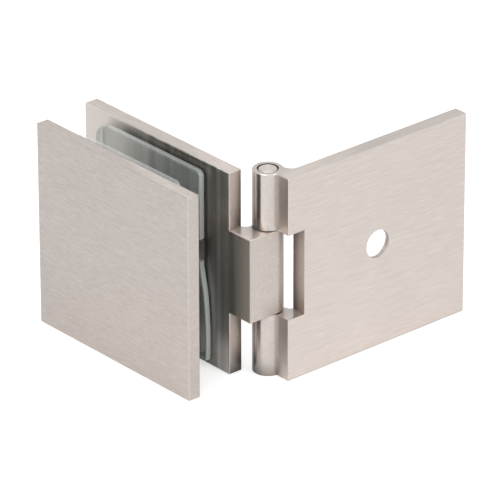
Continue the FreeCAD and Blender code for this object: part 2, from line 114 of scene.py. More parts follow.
def add_node(tree, kind, inputs=None, **settings):
    made = tree.nodes.new("ShaderNode" + kind)
    for key, value in settings.items():
        setattr(made, key, value)
    set_inputs(tree, made, inputs or {})
    return made


def calc(tree, operation, *values):
    """One step of arithmetic."""
    return add_node(tree, "Math", dict(enumerate(values)), operation=operation).outputs[0]


def vector_calc(tree, operation, *values):
    """One step of arithmetic on vectors. A length and a dot product come out as a number."""
    done = add_node(tree, "VectorMath", dict(enumerate(values)), operation=operation)
    return done.outputs["Value" if operation in ("LENGTH", "DOT_PRODUCT") else "Vector"]


def split(tree, vector):
    return add_node(tree, "SeparateXYZ", {"Vector": vector}).outputs


def fade(tree, value, start, end, low=0.0, high=1.0, **settings):
    """Turns a value that runs from start to end into one that runs from low to high."""
    ends = {"Value": value, "From Min": start, "From Max": end, "To Min": low, "To Max": high}
    return add_node(tree, "MapRange", ends, **settings).outputs[0]


def mix_values(tree, share, first, second):
    return add_node(tree, "Mix", {0: share, 2: first, 3: second}).outputs[0]


def mix_colours(tree, share, first, second, blend_type="MIX"):
    return add_node(tree, "Mix", {0: share, 6: first, 7: second}, data_type="RGBA",
                    blend_type=blend_type).outputs[2]


def noise(tree, place, scale, detail, roughness=0.5):
    return add_node(tree, "TexNoise", {"Vector": place, "Scale": scale, "Detail": detail,
                                       "Roughness": roughness}).outputs[0]


def openness(tree, reach, own_shape_only):
    """How little stands within reach of a place: 1 in the open, 0 in a narrow gap."""
    return add_node(tree, "AmbientOcclusion", {"Distance": reach}, samples=8,
                    only_local=own_shape_only).outputs["AO"]


def distance_from_pin(tree, place):
    """How far a place is from the hinge pin's axis."""
    from_pin = vector_calc(tree, "SUBTRACT", place, pin_axis)
    return vector_calc(tree, "LENGTH", vector_calc(tree, "MULTIPLY", from_pin, (1, 1, 0)))


def ramp_colours(tree, value, stops):
    ramp = add_node(tree, "ValToRGB", {"Fac": value})
    for _ in range(len(stops) - 2):
        ramp.color_ramp.elements.new(0.5)
    for element, (where, colour) in zip(ramp.color_ramp.elements, stops):
        element.position = where
        element.color = (*colour, 1)
    return ramp.outputs[0]


def new_group(name, inputs, outputs):
    """Starts a shader group. An input is a label, a kind and a first value, which may be None."""
    group = bpy.data.node_groups.new(name, "ShaderNodeTree")
    for label, kind, value in inputs:
        socket = group.interface.new_socket(label, in_out="INPUT", socket_type="NodeSocket" + kind)
        if value is not None:
            socket.default_value = value
    for label, kind in outputs:
        group.interface.new_socket(label, in_out="OUTPUT", socket_type="NodeSocket" + kind)
    return group, group.nodes.new("NodeGroupInput").outputs, group.nodes.new("NodeGroupOutput")


def placed_group(tree, group, **values):
    """Puts a group in a material, with its own values."""
    return add_node(tree, "Group", values, node_tree=group).outputs


BROAD_SCALE = 0.35
BROAD_SHARE = 0.35


def make_brushed_grain():
    """Long fine scratches in a stretched space, wider bands of them, and slow cloudiness."""
    group, given, made = new_group(
        "brushed_grain", [("Stretched", "Vector", None), ("Place", "Vector", None)],
        [("Tone", "Float"), ("Relief", "Float"), ("Cloud", "Float")])
    fine = noise(group, given["Stretched"], scale=1.0, detail=4.0, roughness=0.6)
    broad = noise(group, given["Stretched"], scale=BROAD_SCALE, detail=2.0)
    cloud = noise(group, given["Place"], scale=75.0, detail=3.0, roughness=0.55)
    tone = mix_values(group, BROAD_SHARE, fine, broad)
    set_inputs(group, made, {"Tone": tone, "Relief": fine, "Cloud": cloud})
    return group


EDGE_ROUNDING_WIDTH = 0.00016
CORNER_TURN = (0.995, 0.85)
ROUNDED_EDGE = (0.975, 0.85)
UPRIGHT = (0.35, 0.12)
TILTED_UP = (0.25, 0.5)
BARREL_END = (0.0068, 0.0072)
RAGGED_RANGE = (0.3, 0.6)
RAGGED_LEAST = 0.45


def make_edge_wear_and_light():
    """Finds corners by how far a rounded normal leaves the face's own, broken up by noise.

    The first output finds upright edges, which are rubbed bright and carry a painted highlight. The
    second finds the rims of faces that look up or down, for a thin painted shadow along them."""
    group, given, made = new_group(
        "edge_wear_and_light", [("Place", "Vector", None), ("Width", "Float", EDGE_ROUNDING_WIDTH)],
        [("Wear and Highlight", "Float"), ("Line", "Float"), ("Normal", "Vector")])
    rounded = add_node(group, "Bevel", {"Radius": given["Width"]}, samples=6).outputs[0]
    face = add_node(group, "NewGeometry").outputs["Normal"]
    corner = fade(group, vector_calc(group, "DOT_PRODUCT", rounded, face), *CORNER_TURN)
    slant = split(group, vector_calc(group, "ABSOLUTE", rounded))
    slanted = fade(group, calc(group, "MAXIMUM", slant["X"], slant["Y"]), *ROUNDED_EDGE)
    upright = fade(group, slant["Z"], *UPRIGHT)
    off_barrel = fade(group, distance_from_pin(group, given["Place"]), *BARREL_END)
    plate_edge = calc(group, "MULTIPLY", slanted, off_barrel)
    both_edges = calc(group, "MAXIMUM", corner, plate_edge)
    breaks = noise(group, given["Place"], scale=900.0, detail=3.0)
    ragged = fade(group, breaks, *RAGGED_RANGE, low=RAGGED_LEAST)
    wear_and_light = calc(group, "MULTIPLY", calc(group, "MULTIPLY", both_edges, ragged), upright)
    shadow_line = calc(group, "MULTIPLY", corner, fade(group, slant["Z"], *TILTED_UP))
    set_inputs(group, made, {"Wear and Highlight": wear_and_light, "Line": shadow_line, "Normal": rounded})
    return group


# Painted shade in narrow gaps and in the ring round the pin's ends.
CREVICE_SHADE_REACH = 0.0006
CREVICE_SHADED_OPENNESS = (0.20, 0.52)
CREVICE_SHADE_TONE = 0.15
RING_RADIUS = 0.00228
RING_FADE = (0.00013, 0.00022)
RING_SHADE_TONE = 0.2


def make_crevice_shade(name, own_shape_only):
    """Painted shade in narrow gaps, and in the ring where the pin's bevel meets the knuckle's bore."""
    group, given, made = new_group(
        name, [("Place", "Vector", None), ("Reach", "Float", CREVICE_SHADE_REACH)], [("Open", "Float")])
    clear = fade(group, openness(group, given["Reach"], own_shape_only), *CREVICE_SHADED_OPENNESS, low=CREVICE_SHADE_TONE)
    off_ring = calc(group, "SUBTRACT", distance_from_pin(group, given["Place"]), RING_RADIUS)
    ring = fade(group, calc(group, "ABSOLUTE", off_ring), *RING_FADE, low=RING_SHADE_TONE)
    set_inputs(group, made, {"Open": calc(group, "MULTIPLY", clear, ring)})
    return group


SHADE_REACH = 0.007
HOLLOW_OPENNESS = (0.45, 1.0)
HOLLOW_TONE = 0.68


def make_soft_shade():
    """Painted shade that darkens the wider hollows of a piece's own shape."""
    group, given, made = new_group("soft_shade", [("Reach", "Float", SHADE_REACH)],
                                   [("Shade", "Float")])
    shade = fade(group, openness(group, given["Reach"], True), *HOLLOW_OPENNESS, low=HOLLOW_TONE)
    set_inputs(group, made, {"Shade": shade})
    return group


BESIDE_OPENNESS = (0.40, 0.85)
BESIDE_TONE = 0.18
ROUND_PIN = (0.0115, 0.0095)
BEHIND_PIN = (-0.0015, -0.0062)
WALL_SLOPE = (0.7, 0.3)


def make_neighbour_shade():
    """Painted shade on upright faces round the pin that another piece stands close to."""
    group, given, made = new_group(
        "neighbour_shade", [("Place", "Vector", None), ("Reach", "Float", SHADE_REACH)],
        [("Shade", "Float")])
    among_all = openness(group, given["Reach"], False)
    alone = openness(group, given["Reach"], True)
    shade = fade(group, calc(group, "DIVIDE", among_all, alone), *BESIDE_OPENNESS, low=BESIDE_TONE)
    near_pin = fade(group, distance_from_pin(group, given["Place"]), *ROUND_PIN)
    behind = fade(group, split(group, given["Place"])["X"], *BEHIND_PIN)
    face = add_node(group, "NewGeometry").outputs["Normal"]
    upright = fade(group, calc(group, "ABSOLUTE", split(group, face)["Z"]), *WALL_SLOPE)
    where = calc(group, "MULTIPLY", calc(group, "MULTIPLY", near_pin, behind), upright)
    set_inputs(group, made, {"Shade": mix_values(group, where, 1.0, shade)})
    return group


brushed_grain = make_brushed_grain()
edge_wear_and_light = make_edge_wear_and_light()
soft_shade = make_soft_shade()
neighbour_shade = make_neighbour_shade()
gap_shade = make_crevice_shade("gap_shade", False)


def new_material(name):
    material = bpy.data.materials.new(name)
    material.use_nodes = True
    return material, material.node_tree, material.node_tree.nodes["Principled BSDF"]


def brushed_nickel(name, scratches, crevice_shade, tone, spread, level_face_shade=1.0, barrel=False,
                   turned_about=None, flow_axis="Z", plating=None):
    """Satin metal. scratches is how fast the scratches change along x, y and z.

    tone is how pale the metal is, a wider spread makes its scratches fainter, and level_face_shade
    darkens the faces that look up and down as painted shade. barrel makes the outside of
    the knuckles smoother. A turned piece has a centre and an axis in turned_about, and its
    scratches run round that axis. plating is the y of a face that is plated smooth, its colour,
    and the middle of the gasket round which a painted shadow falls on that face."""
    material, tree, shader = new_material(name)
    coordinates = add_node(tree, "TexCoord").outputs
    place = coordinates["Object"]
    lay = place
    if turned_about is not None:
        centre, axis = turned_about
        lay = placed_group(tree, turned_marks, Place=place, Centre=centre, Axis=axis)["Marks"]
    stretched = add_node(tree, "Mapping", {"Vector": lay, "Scale": scratches}).outputs[0]
    grain = placed_group(tree, brushed_grain, Stretched=stretched, Place=place)
    wear_and_light = placed_group(tree, edge_wear_and_light, Place=place)
    stops = ((0.5 - spread, NICKEL_DARK), (0.5, NICKEL_MIDDLE), (0.5 + spread, NICKEL_PALE))
    colour = ramp_colours(tree, grain["Tone"], [(where, [tone * part for part in shade])
                                                for where, shade in stops])
    # Painted shade on the faces that look up and down.
    if level_face_shade != 1.0:
        upward = calc(tree, "ABSOLUTE", split(tree, coordinates["Normal"])["Z"])
        level_shaded = fade(tree, upward, *LEVEL_FACE_SLOPE, 1.0, level_face_shade)
        colour = mix_colours(tree, 1.0, colour, level_shaded, "MULTIPLY")
    # Painted shade in hollows and beside neighbouring pieces.
    hollow = placed_group(tree, soft_shade)["Shade"]
    beside = placed_group(tree, neighbour_shade, Place=place)["Shade"]
    shade = calc(tree, "MULTIPLY", hollow, beside)
    cloudy = fade(tree, grain["Cloud"], *CLOUD_RANGE, *SATIN)
    rough = calc(tree, "MULTIPLY_ADD", grain["Tone"], STREAK_ROUGHNESS, cloudy)
    if barrel:
        on_barrel = fade(tree, distance_from_pin(tree, place), *BARREL_SKIN)
        rough = mix_values(tree, on_barrel, rough, BARREL_ROUGHNESS)
    flow = add_node(tree, "Tangent", direction_type="RADIAL", axis=flow_axis).outputs[0]
    if plating is not None:
        level, plate_colour, gasket_middle = plating
        plated = on_level(tree, place, level)
        inner = placed_group(tree, plated_face, Place=place, Middle=gasket_middle,
                             Deep=scaled(plate_colour, DEEP_SHARE),
                             Pale=scaled(plate_colour, PALE_SHARE))
        colour = mix_colours(tree, plated, colour, inner["Colour"])
        rough = mix_values(tree, plated, rough, inner["Roughness"])
        shade = mix_values(tree, plated, shade, 1.0)
        flow = add_node(tree, "Mix", {0: plated, 4: flow, 5: (0, 0, 1)}, data_type="VECTOR").outputs[1]
    # Rubbed upright edges with a painted highlight.
    worn_and_highlit = mix_colours(tree, wear_and_light["Wear and Highlight"], colour, WORN_HIGHLIGHT_NICKEL)
    # A thin painted shadow along the rims of faces that look up or down.
    shadow_lined = fade(tree, wear_and_light["Line"], 0.0, 1.0, 1.0, SHADOW_LINE_TONE)
    # Painted shade in narrow gaps.
    crevice_shaded = calc(tree, "MULTIPLY", placed_group(tree, crevice_shade, Place=place)["Open"], shadow_lined)
    dark = calc(tree, "MULTIPLY", crevice_shaded, shade)
    relief = add_node(tree, "Bump", {"Strength": SCRATCH_STRENGTH, "Distance": SCRATCH_DEPTH,
                                     "Height": grain["Relief"], "Normal": wear_and_light["Normal"]})
    set_inputs(tree, shader, {
        "Base Color": mix_colours(tree, 1.0, worn_and_highlit, dark, "MULTIPLY"),
        "Roughness": rough,
        "Normal": relief.outputs[0],
        "Tangent": flow,
        "Metallic": 1.0,
        "Anisotropic": BRUSHED_SHARE,
        "Anisotropic Rotation": QUARTER_TURN,
    })
    return material


def dress(node, material):
    """Gives a CAD node its material."""
    for slot in frame["nodes"][node].material_slots:
        slot.material = material


dress("wall_leaf", brushed_nickel("leaf_nickel", LEAF_SCRATCHES, gap_shade, tone=1.33, spread=0.22,
                                  level_face_shade=0.82, barrel=True))

# Hinge pin.
# A plain steel pin, turned, with a bevel at each end. It is pressed through the wall leaf's two
# knuckles and runs free in the hinge plate's one.
TURNED_SCRATCHES = (7000, 7000, 1)


def make_turned_marks():
    """A turned piece's place as distance from its axis and distance along it, for ring marks."""
    group, given, made = new_group(
        "turned_marks",
        [("Place", "Vector", None), ("Centre", "Vector", (0, 0, 0)), ("Axis", "Vector", (0, 0, 1))],
        [("Marks", "Vector")])
    from_centre = vector_calc(group, "SUBTRACT", given["Place"], given["Centre"])
    along = vector_calc(group, "DOT_PRODUCT", from_centre, given["Axis"])
    around = vector_calc(group, "CROSS_PRODUCT", from_centre, given["Axis"])
    out = vector_calc(group, "LENGTH", around)
    marks = add_node(group, "CombineXYZ", {"X": out, "Y": along}).outputs[0]
    set_inputs(group, made, {"Marks": marks})
    return group


turned_marks = make_turned_marks()
dress("hinge_pin", brushed_nickel("pin_nickel", TURNED_SCRATCHES, gap_shade, tone=1.3, spread=0.15,
                                  turned_about=(pin_axis, (0, 0, 1))))

# Hinge plate and cover plate.
# Two plates of the same metal, brushed side to side and plated smooth on the faces that look at
# the glass; the cover plate's plated face is given a dark colour as painted shade. The rear one
# carries the middle knuckle on a thick block. The front one is blank outside and has the tapped
# boss behind.
PLATE_SCRATCHES = (520, 4600, 4600)
HINGE_PLATE_FACE = -0.03455
HINGE_FACE_COLOUR = (0.60, 0.555, 0.515)
COVER_PLATE_BACK = -0.04655
# The cover plate's plated face: a dark colour as painted shade for the shade in the glass gap.
COVER_FACE_SHADED_COLOUR = (0.31, 0.32, 0.30)
DEEP_SHARE = 0.85
PALE_SHARE = 1.45
LEVEL_FADE = (0.0003, 0.0001)
DRAWN_STREAKS = (480, 480, 14)
STREAK_TONES = (0.40, 0.72)
FAR_END = (-0.034, -0.050)
# A pale upright band beside the gasket, a painted reflection.
REFLECTION_STREAK_X = -0.0146
REFLECTION_STREAK_FADE = (0.0011, 0.0001)
REFLECTION_STREAK_SHARE = 0.7
REFLECTION_STREAK_COLOUR = (0.95, 0.92, 0.88, 1)
# Painted shade towards the bottom of a plated face.
FOOT = (-0.022, -0.006)
FOOT_SHADE_TONE = 0.72
BLOCK = (-0.0095, -0.0060)
BLOCK_COLOUR = (0.62, 0.535, 0.465, 1)
PLATED_ROUGHNESS = 0.28
BLOCK_ROUGHNESS = 0.42
GASKET_WIDTH = 0.0364
GASKET_HEIGHT = 0.0466
COVER_GASKET_MIDDLE = Vector((-0.0334, -0.045625, 0.00085))
HINGE_GASKET_MIDDLE = Vector((-0.0373, -0.035475, -0.00105))
# A painted shadow round each gasket's outline, and painted shade beneath it.
GASKET_SHADOW_ROUND = 0.002
GASKET_SHADOW_WIDTH = (0.0004, 0.0026)
GASKET_SHADOW_TONE = 0.30
UNDER_GASKET_EDGE = (-0.0003, -0.0006)
UNDER_GASKET_SHADE = 0.92
GASKET_SHADOW_START = (-0.016, -0.008)


def on_level(tree, place, level):
    """Picks a plate's face at a level of y."""
    gap = calc(tree, "ABSOLUTE", calc(tree, "SUBTRACT", split(tree, place)["Y"], level))
    return fade(tree, gap, *LEVEL_FADE)


def scaled(colour, share):
    return (*(min(1.0, share * part) for part in colour), 1)


def gasket_shadow(tree, place, middle):
    """A painted shadow on the metal round a gasket's outline, which fades out at the far end, and a
    little painted shade beneath the gasket.
    """
    inner = (GASKET_WIDTH / 2 - GASKET_SHADOW_ROUND, 1, GASKET_HEIGHT / 2 - GASKET_SHADOW_ROUND)
    from_middle = vector_calc(tree, "SUBTRACT", place, middle)
    past = vector_calc(tree, "SUBTRACT", vector_calc(tree, "ABSOLUTE", from_middle), inner)
    reach = vector_calc(tree, "LENGTH", vector_calc(tree, "MAXIMUM", past, (0, 0, 0)))
    gasket_shade = fade(tree, reach, *(GASKET_SHADOW_ROUND + width for width in GASKET_SHADOW_WIDTH), low=GASKET_SHADOW_TONE)
    under_gasket = fade(tree, reach, *(GASKET_SHADOW_ROUND + edge for edge in UNDER_GASKET_EDGE))
    near_end = fade(tree, split(tree, from_middle)["X"], *GASKET_SHADOW_START)
    faded = mix_values(tree, near_end, 1.0, gasket_shade)
    return mix_values(tree, under_gasket, faded, UNDER_GASKET_SHADE)


def make_plated_face():
    """A plate's inner face: upright streaks that even out to pale at the far end, one pale upright band
    beside the gasket as a painted reflection, painted shade towards the bottom, a warmer and duller
    block, and a painted shadow round the gasket."""
    group, given, made = new_group(
        "plated_face",
        [("Place", "Vector", None), ("Middle", "Vector", None), ("Deep", "Color", None),
         ("Pale", "Color", None)],
        [("Colour", "Color"), ("Roughness", "Float")])
    across = split(group, given["Place"])
    drawn = add_node(group, "Mapping", {"Vector": given["Place"], "Scale": DRAWN_STREAKS}).outputs[0]
    darkest, palest = STREAK_TONES
    streaks = noise(group, drawn, scale=1.0, detail=3.0)
    evened = mix_values(group, fade(group, across["X"], *FAR_END), streaks, palest)
    plain = mix_colours(group, fade(group, evened, darkest, palest), given["Deep"], given["Pale"])
    # A painted reflection beside the gasket.
    off_streak = calc(group, "ABSOLUTE", calc(group, "SUBTRACT", across["X"], REFLECTION_STREAK_X))
    reflection_streak = fade(group, off_streak, *REFLECTION_STREAK_FADE, high=REFLECTION_STREAK_SHARE,
                  interpolation_type="SMOOTHSTEP")
    streaked = mix_colours(group, reflection_streak, plain, REFLECTION_STREAK_COLOUR)
    # Painted shade towards the bottom.
    foot_shade = fade(group, across["Z"], *FOOT, low=FOOT_SHADE_TONE)
    foot_shaded = mix_colours(group, 1.0, streaked, foot_shade, "MULTIPLY")
    block = fade(group, across["X"], *BLOCK)
    warmer = mix_colours(group, block, foot_shaded, BLOCK_COLOUR)
    # Painted shadow round the gasket.
    gasket_shade = gasket_shadow(group, given["Place"], given["Middle"])
    set_inputs(group, made, {
        "Colour": mix_colours(group, 1.0, warmer, gasket_shade, "MULTIPLY"),
        "Roughness": fade(group, block, 0.0, 1.0, PLATED_ROUGHNESS, BLOCK_ROUGHNESS),
    })
    return group


plated_face = make_plated_face()
corner_shade = make_crevice_shade("corner_shade", True)
dress("hinge_plate", brushed_nickel("hinge_plate_nickel", PLATE_SCRATCHES, corner_shade, tone=1.16,
                                    spread=0.155,
                                    plating=(HINGE_PLATE_FACE, HINGE_FACE_COLOUR, HINGE_GASKET_MIDDLE)))
dress("cover_plate", brushed_nickel("cover_plate_nickel", PLATE_SCRATCHES, corner_shade, tone=1.12,
                                    spread=0.155, level_face_shade=0.96,
                                    plating=(COVER_PLATE_BACK, COVER_FACE_SHADED_COLOUR, COVER_GASKET_MIDDLE)))

# Gaskets.
# Two sheets of clear soft vinyl, punched with a hole for the screw and slit to it from the pin
# side. They lie between plate and glass, and their cut edges are rounded and a little wavy.
GASKET_THICK = 0.00175
GASKET_FAR_ROUND = 0.0042
GASKET_NEAR_ROUND = 0.0013
GASKET_FOOT_ROUND = 0.0007
GASKET_HOLE = 0.008
HOLE_SIDES = 72
SLIT_HALF = 0.0025
SLIT_RAISE = 0.00375
CUTTER_LENGTH = 0.03
CUTTER_DEPTH = 0.01
ROW_SHIFT = 0.00007
RIM_ROUND = 0.00055
ARM_SPREAD = (0.0, 0.00118, 0.0018, 0.00205, 0.0019)
RIPPLE_HEIGHT = 0.00012
RIPPLE_LENGTHS = (("Z", 0.016), ("X", 0.014))
CORNER_SEGMENTS = 10
SHEET_ROWS = ((0, GASKET_WIDTH, 12), (2, GASKET_HEIGHT, 16))
CAGE_POINTS = (4, 2, 9)
SAME_PLACE = 1e-6
RIM_ANGLE = math.radians(50)
SHEET_SMOOTH_ANGLE = math.radians(40)
VINYL_TINTS = ((0.35, (0.66, 0.76, 0.74)), (0.65, (0.74, 0.83, 0.81)))
RIM_TINT = (0.93, 0.97, 0.96, 1)
RIM_FADE = (0.995, 0.35)
HAZE_RANGE = (0.3, 0.7)
VINYL_ROUGHNESS = (0.14, 0.28)
FACE_MILKINESS = (0.10, 0.15)
# The lower arm's rims are milkier as painted light.
LOW_ARM_LIGHT = (0.002, -0.004)
RIM_MILKINESS_AND_LIGHT = (0.62, 0.84)
# Rims that look up are thinner as painted shade.
UP_RIM_SHADE_MILKINESS = 0.33
UP_RIM_SHADE_SLOPE = (0.35, 0.75)
DOWN_MILKINESS = 0.18
DOWN_SLOPE = (-0.35, -0.75)
SCUFF_STRENGTH = 0.1
SCUFF_DEPTH = 0.00003
VINYL_IOR = 1.45


def deselect_all():
    if bpy.context.object and bpy.context.object.mode == "EDIT":
        bpy.ops.object.mode_set(mode="OBJECT")
    bpy.ops.object.select_all(action="DESELECT")


def pick(piece):
    """Makes a piece the only one selected, and the active one."""
    deselect_all()
    piece.select_set(True)
    bpy.context.view_layer.objects.active = piece


def edit_whole(piece):
    """Opens a piece in edit mode with all of it selected."""
    pick(piece)
    bpy.ops.object.mode_set(mode="EDIT")
    bpy.ops.mesh.select_all(action="SELECT")


def start_piece(name, add, **place):
    """Adds a primitive where the piece is, and puts its place in its mesh."""
    deselect_all()
    add(**place)
    piece = bpy.context.object
    piece.name = piece.data.name = name
    bpy.ops.object.transform_apply(location=True, rotation=True, scale=True)
    return piece


def choose(kind, test):
    """In edit mode, selects the vertices, edges or faces that a test of place or normal picks."""
    bpy.ops.mesh.select_mode(type=kind)
    bpy.ops.mesh.select_all(action="DESELECT")
    mesh = bmesh.from_edit_mesh(bpy.context.object.data)
    for part in {"VERT": mesh.verts, "EDGE": mesh.edges, "FACE": mesh.faces}[kind]:
        if test(part):
            part.select_set(True)
    mesh.select_flush_mode()
    bmesh.update_edit_mesh(bpy.context.object.data)


def apply_modifier(piece, kind, **settings):
    bpy.context.view_layer.objects.active = piece
    modifier = piece.modifiers.new(kind.lower(), kind)
    for key, value in settings.items():
        setattr(modifier, key, value)
    bpy.ops.object.modifier_apply(modifier=modifier.name)


def cut_away(piece, cutter):
    """Cuts one piece out of another and throws the cutter away."""
    pick(piece)
    apply_modifier(piece, "BOOLEAN", operation="DIFFERENCE", solver="EXACT", object=cutter)
    bpy.data.objects.remove(cutter)


def is_corner(edge, middle, side, end):
    """Whether an edge is a corner of the sheet on one side of its middle, and at one end or both."""
    first, second = (vertex.co - middle for vertex in edge.verts)
    through = abs(first.y - second.y) > GASKET_THICK / 2 and abs(first.x - second.x) < SAME_PLACE
    outermost = abs(abs(first.z) - GASKET_HEIGHT / 2) < SAME_PLACE
    return through and outermost and first.x * side > 0 and first.z * end >= 0


def make_sheet(name, middle):
    """A flat sheet with rounded corners, its hole and slit, and rows for the cage and ripples."""
    sheet = start_piece(name, bpy.ops.mesh.primitive_cube_add, size=1, location=middle,
                        scale=(GASKET_WIDTH, GASKET_THICK, GASKET_HEIGHT))
    bpy.ops.object.mode_set(mode="EDIT")
    for side, end, reach in ((-1, 0, GASKET_FAR_ROUND), (1, 1, GASKET_NEAR_ROUND),
                             (1, -1, GASKET_FOOT_ROUND)):
        choose("EDGE", lambda edge: is_corner(edge, middle, side, end))
        bpy.ops.mesh.bevel(offset=reach, segments=CORNER_SEGMENTS, affect="EDGES")
    bpy.ops.object.mode_set(mode="OBJECT")
    cut_away(sheet, start_piece("hole_cutter", bpy.ops.mesh.primitive_cylinder_add, vertices=HOLE_SIDES,
                                radius=GASKET_HOLE, depth=CUTTER_DEPTH, location=middle,
                                rotation=(math.pi / 2, 0, 0)))
    cut_away(sheet, start_piece("slit_cutter", bpy.ops.mesh.primitive_cube_add, size=1,
                                location=middle + Vector((CUTTER_LENGTH / 2, 0, SLIT_RAISE)),
                                scale=(CUTTER_LENGTH, CUTTER_DEPTH, 2 * SLIT_HALF)))
    edit_whole(sheet)
    for axis, length, count in SHEET_ROWS:
        for step in range(1, count):
            spot = Vector(middle)
            spot[axis] += length * (step / count - 0.5) + ROW_SHIFT
            normal = Vector((0, 0, 0))
            normal[axis] = 1
            bpy.ops.mesh.select_all(action="SELECT")
            bpy.ops.mesh.bisect(plane_co=spot, plane_no=normal)
    bpy.ops.mesh.select_all(action="SELECT")
    bpy.ops.mesh.remove_doubles(threshold=SAME_PLACE)
    bpy.ops.object.mode_set(mode="OBJECT")
    apply_modifier(sheet, "BEVEL", width=RIM_ROUND, segments=4, limit_method="ANGLE",
                   angle_limit=RIM_ANGLE, use_clamp_overlap=False)
    return sheet


def spread_lower_arm(sheet, middle):
    """Spreads the arm below the slit towards the pin, by a cage round the sheet.

    The two columns of the cage beside the pin move, the outer one twice as far."""
    deselect_all()
    bpy.ops.object.add(type="LATTICE", location=middle)
    cage = bpy.context.object
    cage.scale = (GASKET_WIDTH, 4 * GASKET_THICK, GASKET_HEIGHT)
    lattice = cage.data
    columns, layers, rows = CAGE_POINTS
    lattice.points_u, lattice.points_v, lattice.points_w = columns, layers, rows
    lattice.interpolation_type_u = lattice.interpolation_type_v = "KEY_LINEAR"
    lattice.interpolation_type_w = "KEY_CATMULL_ROM"
    for index, point in enumerate(lattice.points):
        column = index % columns
        below_middle = rows // 2 - index // (columns * layers)
        if below_middle >= 0 and column >= 2:
            point.co_deform.x += ARM_SPREAD[below_middle] * (column - 1) / 2 / GASKET_WIDTH
    apply_modifier(sheet, "LATTICE", object=cage)
    bpy.data.objects.remove(cage)


def ripple(sheet):
    """Makes the sheet's edges a little wavy, up and down and from side to side."""
    for axis, length in RIPPLE_LENGTHS:
        clouds = bpy.data.textures.new("vinyl_ripple", "CLOUDS")
        clouds.noise_scale = length
        apply_modifier(sheet, "DISPLACE", texture=clouds, strength=RIPPLE_HEIGHT, mid_level=0.5,
                       direction=axis, texture_coords="GLOBAL")


def clear_vinyl():
    """Clear over its faces and milky along its cut edges, which face away from Y.

    The edges are milkiest on the lower arm as painted light, thinner where they look up as painted
    shade, and thinner where they look down."""
    material, tree, shader = new_material("clear_vinyl")
    coordinates = add_node(tree, "TexCoord").outputs
    place = coordinates["Object"]
    facing = split(tree, coordinates["Normal"])
    haze = noise(tree, place, scale=110.0, detail=2.0)
    rim = fade(tree, calc(tree, "ABSOLUTE", facing["Y"]), *RIM_FADE)
    # Milkier lower arm as painted light, thinner top rims as painted shade.
    lit_low_arm = fade(tree, split(tree, place)["Z"], *LOW_ARM_LIGHT, *RIM_MILKINESS_AND_LIGHT)
    thinned = mix_values(tree, fade(tree, facing["Z"], *DOWN_SLOPE), lit_low_arm, DOWN_MILKINESS)
    milky = mix_values(tree, fade(tree, facing["Z"], *UP_RIM_SHADE_SLOPE), thinned, UP_RIM_SHADE_MILKINESS)
    cloudy = fade(tree, haze, *HAZE_RANGE, *FACE_MILKINESS)
    scuffs = noise(tree, place, scale=1400.0, detail=3.0)
    relief = add_node(tree, "Bump", {"Strength": SCUFF_STRENGTH, "Distance": SCUFF_DEPTH,
                                     "Height": scuffs})
    set_inputs(tree, shader, {
        "Base Color": mix_colours(tree, rim, ramp_colours(tree, haze, VINYL_TINTS), RIM_TINT),
        "Roughness": fade(tree, haze, *HAZE_RANGE, *VINYL_ROUGHNESS),
        "Alpha": mix_values(tree, rim, cloudy, milky),
        "Normal": relief.outputs[0],
        "IOR": VINYL_IOR,
    })
    return material


vinyl = clear_vinyl()
cover_gasket = make_sheet("cover_gasket_sheet", COVER_GASKET_MIDDLE)
hinge_gasket = cover_gasket.copy()
hinge_gasket.data = cover_gasket.data.copy()
hinge_gasket.name = hinge_gasket.data.name = "hinge_gasket_sheet"
bpy.context.scene.collection.objects.link(hinge_gasket)
hinge_gasket.location = HINGE_GASKET_MIDDLE - COVER_GASKET_MIDDLE
pick(hinge_gasket)
bpy.ops.object.transform_apply(location=True)
spread_lower_arm(hinge_gasket, HINGE_GASKET_MIDDLE)
for sheet, node, body in ((cover_gasket, "cover_gasket", "cover"),
                          (hinge_gasket, "hinge_gasket", "clamp")):
    ripple(sheet)
    sheet.data.materials.append(vinyl)
    pick(sheet)
    bpy.ops.object.shade_smooth_by_angle(angle=SHEET_SMOOTH_ANGLE)
    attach(sheet, body)
    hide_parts(node)

# Clamp screw.
# A countersunk M5 screw with a hexagon socket, turned from steel, its thread cut to the tip.
# It comes through the hinge plate from behind and turns in the cover plate's boss.
SCREW_X = -0.0334
HEAD_Y = -0.03095
HEAD_RADIUS = 0.005
HEAD_RIM = 0.0003
HEAD_BEVEL = 0.00012
HEAD_BEVEL_ANGLE = math.radians(35)
HEAD_SIDES = 96
SCREW_SMOOTH_ANGLE = math.radians(35)
SHANK_RADIUS = 0.0025
SCREW_LENGTH = 0.016
PITCH = 0.0008
THREAD_DEPTH = 0.00046
THREAD_START = 0.0042
THREAD_STEPS = 40
THREAD_OUTLINE = ((0, 0.2), (THREAD_DEPTH, 0.3), (0, 0.15), (-THREAD_DEPTH, 0.35))
TURNS_BEFORE = 1.1
SPARE_TURNS = 2
CUT_EXACTNESS = 1e-8
TIP_TAPER = 0.0004
TIP_SHARE = 0.86
SOCKET_CORNER = 0.0015 / math.cos(math.pi / 6)
SOCKET_DEPTH = 0.0019


def along_screw(distance):
    return Vector((SCREW_X, HEAD_Y - distance, 0))


